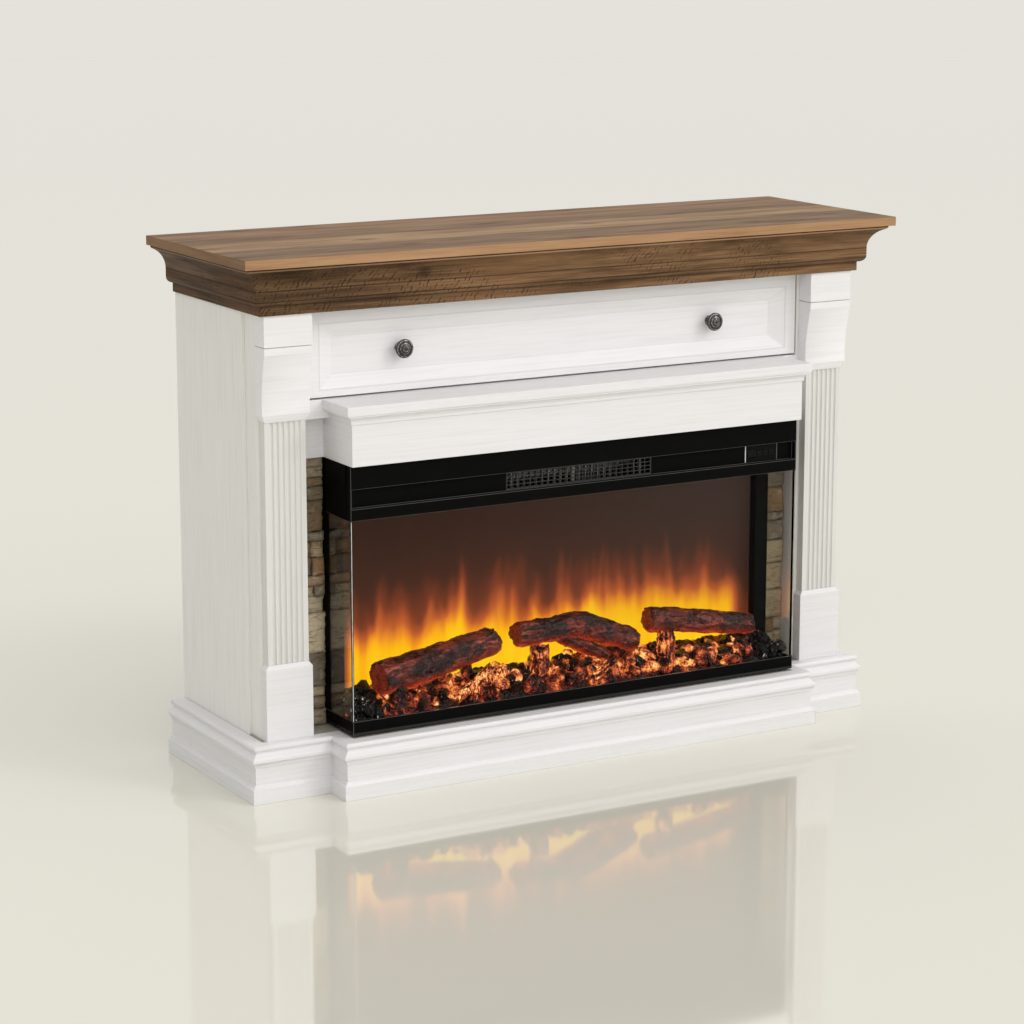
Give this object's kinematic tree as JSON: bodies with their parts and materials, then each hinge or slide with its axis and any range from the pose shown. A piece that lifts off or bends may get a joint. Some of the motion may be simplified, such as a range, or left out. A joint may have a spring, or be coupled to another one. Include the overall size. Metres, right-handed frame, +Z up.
{
  "type": "electric fireplace",
  "caption": "Free-standing mantel fireplace with a moulded cabinet, a full-width drawer under a deep crown, and a three-sided glass firebox with logs, a flame screen and a fan heater.",
  "frame": {"origin": "centre of the bounding box on the floor", "axes": "+X to the viewer's right, +Y towards the wall behind, +Z up"},
  "size_m": [1.2, 0.389, 0.86],
  "materials": {
    "rustic_oak": "oak-print laminate, satin",
    "white_laminate": "white wood-grain laminate, matt",
    "grey_board": "raw and paper-faced board",
    "hardboard": "brown hardboard",
    "stacked_stone": "stacked ledge stone, matt",
    "black_steel": "satin black powder coat",
    "black_plastic": "satin black plastic",
    "aged_iron": "aged black iron, rubbed edges",
    "zinc_steel": "zinc-plated steel",
    "clear_glass": "clear tempered glass",
    "flame_panel": "smoked translucent screen, lit from behind",
    "burnt_resin": "charred bark, glowing in its cracks",
    "ember_resin": "translucent glowing embers",
    "light_strip": "light-emitting strip",
    "green_board": "circuit board",
    "heater_wire": "resistance ribbon on mica",
    "motor_steel": "motor can"
  },
  "bodies": {
    "mantel": {"back_panel": "hardboard", "base_deck": "white_laminate", "blower_motor": "motor_steel", "cabinet_screws": "zinc_steel", "circuit_board": "green_board", "control_panel": "black_plastic", "corbel_caps": "white_laminate", "corbels": "white_laminate", "cord_gland": "black_plastic", "crown_front": "rustic_oak", "crown_left": "rustic_oak", "crown_right": "rustic_oak", "drawer_deck": "grey_board", "drawer_rail": "white_laminate", "ember_bed": "ember_resin", "facia_box": "white_laminate", "firebox_case": "black_steel", "flame_screen": "flame_panel", "fluted_columns": "white_laminate", "glass_front": "clear_glass", "glass_sides": "clear_glass", "head_rail": "grey_board", "header_grille": "black_steel", "heater_duct": "zinc_steel", "heating_element": "heater_wire", "insert_header": "black_steel", "led_strips": "light_strip", "lip_tray": "black_steel", "log_centre": "burnt_resin", "log_left": "burnt_resin", "log_right": "burnt_resin", "mantel_shelf": "white_laminate", "partitions": "white_laminate", "pilaster_boards": "white_laminate", "plinth_blocks": "white_laminate", "recess_board": "white_laminate", "rod_motor": "motor_steel", "shelf_moulding": "white_laminate", "side_panel_left": "white_laminate", "side_panel_right": "white_laminate", "skirt_centre": "white_laminate", "skirt_left": "white_laminate", "skirt_right": "white_laminate", "slide_cabinet_members": "zinc_steel", "stone_panels": "stacked_stone", "top_board": "rustic_oak"},
    "drawer": {"drawer_front": "white_laminate", "drawer_sides": "grey_board", "drawer_back": "grey_board", "drawer_bottom": "grey_board", "knob_left": "aged_iron", "knob_right": "aged_iron", "slide_drawer_members": "zinc_steel"},
    "slide_middles": {"slide_middle_members": "zinc_steel"},
    "flame_spindle": {"flame_rod": "zinc_steel"},
    "blower": {"blower_wheel": "zinc_steel"},
    "rocker": {"power_rocker": "black_plastic"},
    "heat_key": {"heat_button": "black_plastic"},
    "flame_key": {"flame_button": "black_plastic"},
    "timer_key": {"timer_button": "black_plastic"}
  },
  "joints": [
    {"name": "drawer_slide", "type": "slide", "parent": "mantel", "child": "drawer", "axis": [0, -1, 0], "range_m": [0, 0.24]},
    {"name": "slide_extend", "type": "slide", "parent": "mantel", "child": "slide_middles", "axis": [0, -1, 0], "range_m": [0, 0.12]},
    {"name": "flame_rod_spin", "type": "hinge", "parent": "mantel", "child": "flame_spindle", "pos_m": [0, -0.0055, 0.15], "axis": [1, 0, 0], "continuous": true},
    {"name": "blower_spin", "type": "hinge", "parent": "mantel", "child": "blower", "pos_m": [0, -0.0795, 0.484], "axis": [1, 0, 0], "continuous": true},
    {"name": "power_rocker_tilt", "type": "hinge", "parent": "mantel", "child": "rocker", "pos_m": [0.334, -0.1525, 0.4745], "axis": [1, 0, 0], "range_deg": [0, 16]},
    {"name": "heat_press", "type": "slide", "parent": "mantel", "child": "heat_key", "axis": [0, 1, 0], "range_m": [0, 0.0012], "stiffness_N_per_m": 300},
    {"name": "flame_press", "type": "slide", "parent": "mantel", "child": "flame_key", "axis": [0, 1, 0], "range_m": [0, 0.0012], "stiffness_N_per_m": 300},
    {"name": "timer_press", "type": "slide", "parent": "mantel", "child": "timer_key", "axis": [0, 1, 0], "range_m": [0, 0.0012], "stiffness_N_per_m": 300}
  ],
  "couplings": [
    {"joint": "slide_extend", "follows": "drawer_slide", "ratio": 0.5}
  ]
}
